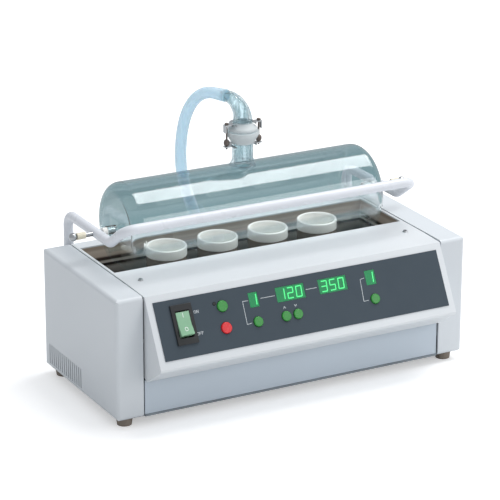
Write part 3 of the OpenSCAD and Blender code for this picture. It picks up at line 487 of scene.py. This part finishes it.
# Height over the joint's centre and outer radius, from the ball up to the bend
ELBOW_PROFILE = [(-14, 11.3), (-12, 13.4), (-9, 15.6), (-5, 17.3), (-1, 17.95), (2, 17.9), (2.6, 18.6), (3.6, 19.4),
                 (5.6, 19.4), (6.6, 18.7), (8, 16.6), (10, 14.4), (12, 13.2), (ELBOW_RISE, ELBOW_FOOT_R)]


def add_elbow():
    """Ground ball, collar and quarter bend as one glass tube, its two walls joined by a ring at both ends."""
    base = Vector((0, WELL_Y, JOINT_Z))
    path = [base + Vector((0, 0, z)) for z, _ in ELBOW_PROFILE]
    outer = [r for _, r in ELBOW_PROFILE]
    for i in range(1, ELBOW_STEPS + 1):
        a = math.pi / 2 * i / ELBOW_STEPS
        path.append(base + Vector((0, 0, ELBOW_RISE)) + ELBOW_R * ((1 - math.cos(a)) * ELBOW_DIR)
                    + Vector((0, 0, ELBOW_R * math.sin(a))))
        outer.append(ELBOW_FOOT_R - ELBOW_TAPER * (i / ELBOW_STEPS) ** 1.15)
    path.append(ELBOW_END - SPOUT_GAP * ELBOW_DIR)
    outer.append(SPOUT_R)
    inner = [min(ELBOW_BORE_R, r - ELBOW_WALL) for r in outer]
    bm = bmesh.new()
    outside, inside = (rings_along(bm, path, radii, 48, Vector((1, 0, 0))) for radii in (outer, inner))
    skin(bm, outside + inside[::-1] + [outside[0]])
    bmesh.ops.recalc_face_normals(bm, faces=bm.faces)
    elbow = from_bmesh("elbow_glass", bm, 40)
    paint(elbow, M["elbow_glass"])
    settle(elbow, "elbow", replaces=True)


add_elbow()


# ------------------------------------------------------------------ dressed CAD pieces
SHARP = 30      # degrees from which an edge counts as one
EDGES = {       # width of the softened edges
    "console": 1.0, "lower_front_panel": 0.5, "control_panel": 0.15, "switch_bezel": 0.7, "rocker": 0.8,
    "joint_clamp": 0.3, "hinge_brackets": 0.4, "power_inlet": 0.5, "rear_panel": 0.4,
    "start_button": 0.4, "stop_button": 0.4, "step_button": 0.4, "time_up_button": 0.4,
    "time_down_button": 0.4, "program_button": 0.4,
    "crucible_1": 0.5, "crucible_2": 0.5, "crucible_3": 0.5, "crucible_4": 0.5,
}


def dress(node, width):
    """A copy of a CAD node with softened edges, which stands for it."""
    me = frame["nodes"][node].data.copy()
    bm = bmesh.new()
    bm.from_mesh(me)
    bmesh.ops.remove_doubles(bm, verts=bm.verts, dist=0.01 * MM)
    bmesh.ops.dissolve_limit(bm, angle_limit=math.radians(0.6), verts=bm.verts, edges=bm.edges)
    bm.to_mesh(me)
    bm.free()
    if me.attributes.get("custom_normal"):
        me.attributes.remove(me.attributes["custom_normal"])
    obj = new_object(node + "_shell", me)
    smooth(obj, SHARP)
    mod = obj.modifiers.new("edges", "BEVEL")
    mod.width = width * MM
    mod.segments = 2
    mod.limit_method = "ANGLE"
    mod.angle_limit = math.radians(SHARP)
    mod.use_clamp_overlap = True
    obj.modifiers.new("normals", "WEIGHTED_NORMAL").keep_sharp = False
    paint(obj, M[SLOT_OF[node]])
    settle(obj, node, replaces=True)


for node, obj in frame["nodes"].items():
    paint(obj, M[SLOT_OF[node]])
paint(frame["nodes"]["glass_neck"], M["elbow_glass"])
for node, width in EDGES.items():
    dress(node, width)


# ------------------------------------------------------------------ clamp screws with round knobs
SCREW_X = 23.6
KNOB_Z = JOINT_Z - 15.9
KNURL, KNURL_FROM = 0.22, 2.5       # depth of the knurls, and the radius from which a knob has them
# Radius and height of the turned shapes
KNOB = [(0.9, 0.0), (2.3, 0.25), (3.3, 1.1), (3.9, 2.6), (4.1, 4.2), (3.9, 5.8), (3.3, 7.3), (2.3, 8.2), (1.2, 8.6)]
SHAFT = [(0.8, -20.6), (1.25, -20.0), (1.25, 12.9), (2.4, 13.1), (2.75, 13.5), (2.75, 14.4), (2.2, 15.0),
         (0.8, 15.2)]


def turn(bm, profile, centre, sides, knurl=0.0):
    """Closed solid turned about an upright line through the centre."""
    rings = []
    for radius, z in profile:
        ring = []
        for k in range(sides):
            a = 2 * math.pi * k / sides
            r = radius - (knurl if k % 2 and radius > KNURL_FROM else 0)
            ring.append(bm.verts.new((Vector(centre) + Vector((r * math.cos(a), r * math.sin(a), z))) * MM))
        rings.append(ring)
    skin(bm, rings)
    cap(bm, rings)


def add_clamp_screws():
    bm = bmesh.new()
    for x in (-SCREW_X, SCREW_X):
        turn(bm, KNOB, (x, WELL_Y, KNOB_Z), 36, KNURL)
        turn(bm, SHAFT, (x, WELL_Y, JOINT_Z), 20)
    screws = from_bmesh("clamp_knobs", bm, 40)
    paint(screws, M["knob_grey"])
    settle(screws, "clamp_screws", replaces=True)


add_clamp_screws()


# ------------------------------------------------------------------ marks on the console
SIN, COS = math.sin(SLOPE_ANGLE), math.cos(SLOPE_ANGLE)
OUTWARD = Vector((0, -COS, SIN))


def on_slope(x, s, out=0.0):
    """Point on the console's slope in mm: x across, s down from its top edge, out of the face."""
    return Vector((x, SLOPE_TOP[0] - s * SIN, SLOPE_TOP[1] - s * COS)) + out * OUTWARD


PRINT_T, PRINT_SUNK = 0.06, 0.05    # how far a printed stroke stands out of the face and reaches into it
RAY_FROM = 12                       # height over the slope from which the face is looked for
FACE_OUT = 0.9                      # where the face is taken to be if nothing is met


def strokes_on(name, node, strokes, width, material):
    """Printed strokes, laid on the face of a CAD node; each stroke is a pair of (x, s) points."""
    src = frame["nodes"][node]
    tree = BVHTree.FromPolygons([src.matrix_world @ v.co for v in src.data.vertices],
                                [tuple(p.vertices) for p in src.data.polygons])
    bm = bmesh.new()
    for (x0, s0), (x1, s1) in strokes:
        length = math.hypot(x1 - x0, s1 - s0) or 1
        ux, us = (x1 - x0) / length * width / 2, (s1 - s0) / length * width / 2
        corners = [(x0 - ux - us, s0 - us + ux), (x1 + ux - us, s1 + us + ux),
                   (x1 + ux + us, s1 + us - ux), (x0 - ux + us, s0 - us - ux)]
        low, high = [], []
        for x, s in corners:
            hit = tree.ray_cast(on_slope(x, s, RAY_FROM) * MM, -OUTWARD)[0]
            at = hit / MM if hit else on_slope(x, s, FACE_OUT)
            low.append(bm.verts.new((at - PRINT_SUNK * OUTWARD) * MM))
            high.append(bm.verts.new((at + PRINT_T * OUTWARD) * MM))
        cap(bm, [low, high])
        skin(bm, [low, high])
    bmesh.ops.recalc_face_normals(bm, faces=bm.faces)
    obj = from_bmesh(name, bm)
    paint(obj, M[material])
    settle(obj, node)


# Strokes of digits and letters in a box that is 1 wide; s runs down
SEGMENTS = {
    "a": ((0, 0), (1, 0)), "b": ((1, 0), (1, 1)), "c": ((1, 1), (1, 2)), "d": ((0, 2), (1, 2)),
    "e": ((0, 1), (0, 2)), "f": ((0, 0), (0, 1)), "g": ((0, 1), (1, 1)),
}
DIGITS = {"0": "abcdef", "1": "bc", "2": "abged", "3": "abgcd", "5": "afgcd"}
LETTERS = {
    "O": [((0, 0.2), (0.2, 0)), ((0.2, 0), (0.8, 0)), ((0.8, 0), (1, 0.2)), ((1, 0.2), (1, 0.8)),
          ((1, 0.8), (0.8, 1)), ((0.8, 1), (0.2, 1)), ((0.2, 1), (0, 0.8)), ((0, 0.8), (0, 0.2))],
    "N": [((0, 1), (0, 0)), ((0, 0), (1, 1)), ((1, 1), (1, 0))],
    "F": [((0, 1), (0, 0)), ((0, 0), (1, 0)), ((0, 0.5), (0.8, 0.5))],
    "I": [((0.5, 0), (0.5, 1))],
}
DIGIT_W, DIGIT_H = 7.6, 13.4
DIGIT_LEAN = 0.5        # how far half a digit leans over
SEGMENT_GAP = 0.09      # share of a segment left free at each end


def number(text, x, s, pitch):
    """Segment digits about a point of the slope."""
    out = []
    for i, ch in enumerate(text):
        left = x + (i - (len(text) - 1) / 2) * pitch - DIGIT_W / 2
        for key in DIGITS[ch]:
            (ax, ay), (bx, by) = SEGMENTS[key]
            dx, dy = SEGMENT_GAP * (bx - ax), SEGMENT_GAP * (by - ay)
            out.append(tuple((left + px * DIGIT_W + DIGIT_LEAN * (1 - py), s + (py - 1) * DIGIT_H / 2)
                             for px, py in ((ax + dx, ay + dy), (bx - dx, by - dy))))
    return out


def word(text, x, s, w, h, pitch):
    """Letters w wide and h high about a point of the slope."""
    out = []
    for i, ch in enumerate(text):
        left = x + (i - (len(text) - 1) / 2) * pitch - w / 2
        out += [tuple((left + px * w, s + (py - 0.5) * h) for px, py in pair) for pair in LETTERS[ch]]
    return out


def chain(*points):
    return list(zip(points, points[1:]))


DISPLAY_S = 28.4        # row of the displays, down from the slope's top edge
DIGIT_PITCH = 12.4
DIGIT_STROKE, LINE_STROKE, WORD_STROKE, ROCKER_STROKE = 1.5, 0.6, 0.55, 0.8
ROCKER_X = -171.5
SHOWN = {"step": ("1", -69.5), "time": ("120", -16.4), "temperature": ("350", 45.6), "program": ("1", 101.7)}
PANEL_LINES = (
    chain((-78.2, 28.3), (-85.4, 28), (-86, 57.8), (-79.4, 57)) + chain((-59.4, 28.4), (-39.4, 28.4))
    + chain((6.3, 28.3), (21.7, 28.3)) + chain((92.2, 27.8), (86.3, 28.6), (84.5, 57.2), (91.3, 57.2))
)
PANEL_WORDS = word("ON", -151.4, 29.6, 2.3, 3.3, 3.6) + word("OFF", -152.3, 57.2, 2.1, 3.3, 3.2)
PANEL_ARROWS = chain((-31, 46.6), (-29.5, 44.2), (-28, 46.6)) + chain((-14.8, 44.4), (-13.3, 46.8), (-11.8, 44.4))
ROCKER_MARKS = word("I", ROCKER_X, 31, 4, 5, 1) + word("O", ROCKER_X, 49, 3.6, 4.4, 1)


def add_marks():
    for name, (text, x) in SHOWN.items():
        strokes_on("digits_" + name, name + "_display", number(text, x, DISPLAY_S, DIGIT_PITCH), DIGIT_STROKE, "lit")
    strokes_on("panel_lines", "control_panel", PANEL_LINES, LINE_STROKE, "ink")
    strokes_on("panel_words", "control_panel", PANEL_WORDS, WORD_STROKE, "ink")
    strokes_on("panel_arrows", "control_panel", PANEL_ARROWS, LINE_STROKE, "ink")
    strokes_on("rocker_marks", "rocker", ROCKER_MARKS, ROCKER_STROKE, "mark_pale")


add_marks()


# ------------------------------------------------------------------ floor, world, lamps
WHITE = (1, 1, 1, 1)
BEHIND_GLASS = (*linear("8FA9AE"), 1)   # the backdrop as it shows through the glass
FLOOR_SIZE, FLOOR_TONE, FLOOR_LIFT = 30, 0.88, 0.42     # the lift makes the floor white for the camera
WORLD_COLOR, WORLD_STRENGTH = (0.93, 0.96, 1, 1), 0.56
LAMPS = {       # place, target, size across and along, power
    "key": ((1.14, 0.1, 2.6), (0, 0, 0.15), 1.5, 2.03, 50),
    "front": ((1.7, -2.2, 1.3), (0, 0, 0.1), 1.4, 1.4, 12),
}


def ray_kind(nt, kind):
    return nt.nodes.new("ShaderNodeLightPath").outputs[kind]


def shown_to(nt, kind, shader, usual):
    """A shader that one kind of ray sees instead of the usual one."""
    mix = nt.nodes.new("ShaderNodeMixShader")
    nt.links.new(ray_kind(nt, kind), mix.inputs[0])
    nt.links.new(usual.outputs[0], mix.inputs[1])
    nt.links.new(shader.outputs[0], mix.inputs[2])
    return mix


def add_floor():
    bpy.ops.mesh.primitive_plane_add(size=FLOOR_SIZE)
    floor = bpy.context.object
    floor.name = "floor"
    mat = bpy.data.materials.new("floor")
    mat.use_nodes = True
    nt = mat.node_tree
    b = nt.nodes["Principled BSDF"]
    b.inputs["Base Color"].default_value = (FLOOR_TONE, FLOOR_TONE, FLOOR_TONE, 1)
    b.inputs["Roughness"].default_value = 0.9
    b.inputs["Specular IOR Level"].default_value = 0.1
    b.inputs["Emission Color"].default_value = WHITE
    lift = nt.nodes.new("ShaderNodeMath")
    lift.operation = "MULTIPLY"
    lift.inputs[1].default_value = FLOOR_LIFT
    nt.links.new(ray_kind(nt, "Is Camera Ray"), lift.inputs[0])
    nt.links.new(lift.outputs[0], b.inputs["Emission Strength"])
    glow = nt.nodes.new("ShaderNodeEmission")
    glow.inputs["Color"].default_value = BEHIND_GLASS
    seen = shown_to(nt, "Is Transmission Ray", glow, b)
    nt.links.new(seen.outputs[0], nt.nodes["Material Output"].inputs["Surface"])
    floor.data.materials.append(mat)


def add_world():
    world = bpy.data.worlds.new("world")
    scene.world = world
    world.use_nodes = True
    nt = world.node_tree
    seen = nt.nodes["Background"]
    seen.inputs["Color"].default_value = WORLD_COLOR
    seen.inputs["Strength"].default_value = WORLD_STRENGTH
    for kind, color in (("Is Camera Ray", WHITE), ("Is Transmission Ray", BEHIND_GLASS)):
        plain = nt.nodes.new("ShaderNodeBackground")
        plain.inputs["Color"].default_value = color
        seen = shown_to(nt, kind, plain, seen)
    nt.links.new(seen.outputs[0], nt.nodes["World Output"].inputs["Surface"])


def add_lamps():
    for name, (place, target, size, size_y, power) in LAMPS.items():
        data = bpy.data.lights.new(name, "AREA")
        data.shape = "RECTANGLE"
        data.size = size
        data.size_y = size_y
        data.energy = power
        obj = new_object(name, data)
        obj.location = place
        obj.rotation_euler = (Vector(target) - Vector(place)).to_track_quat("-Z", "Y").to_euler()


add_floor()
add_world()
add_lamps()
scene.view_settings.view_transform = "Standard"
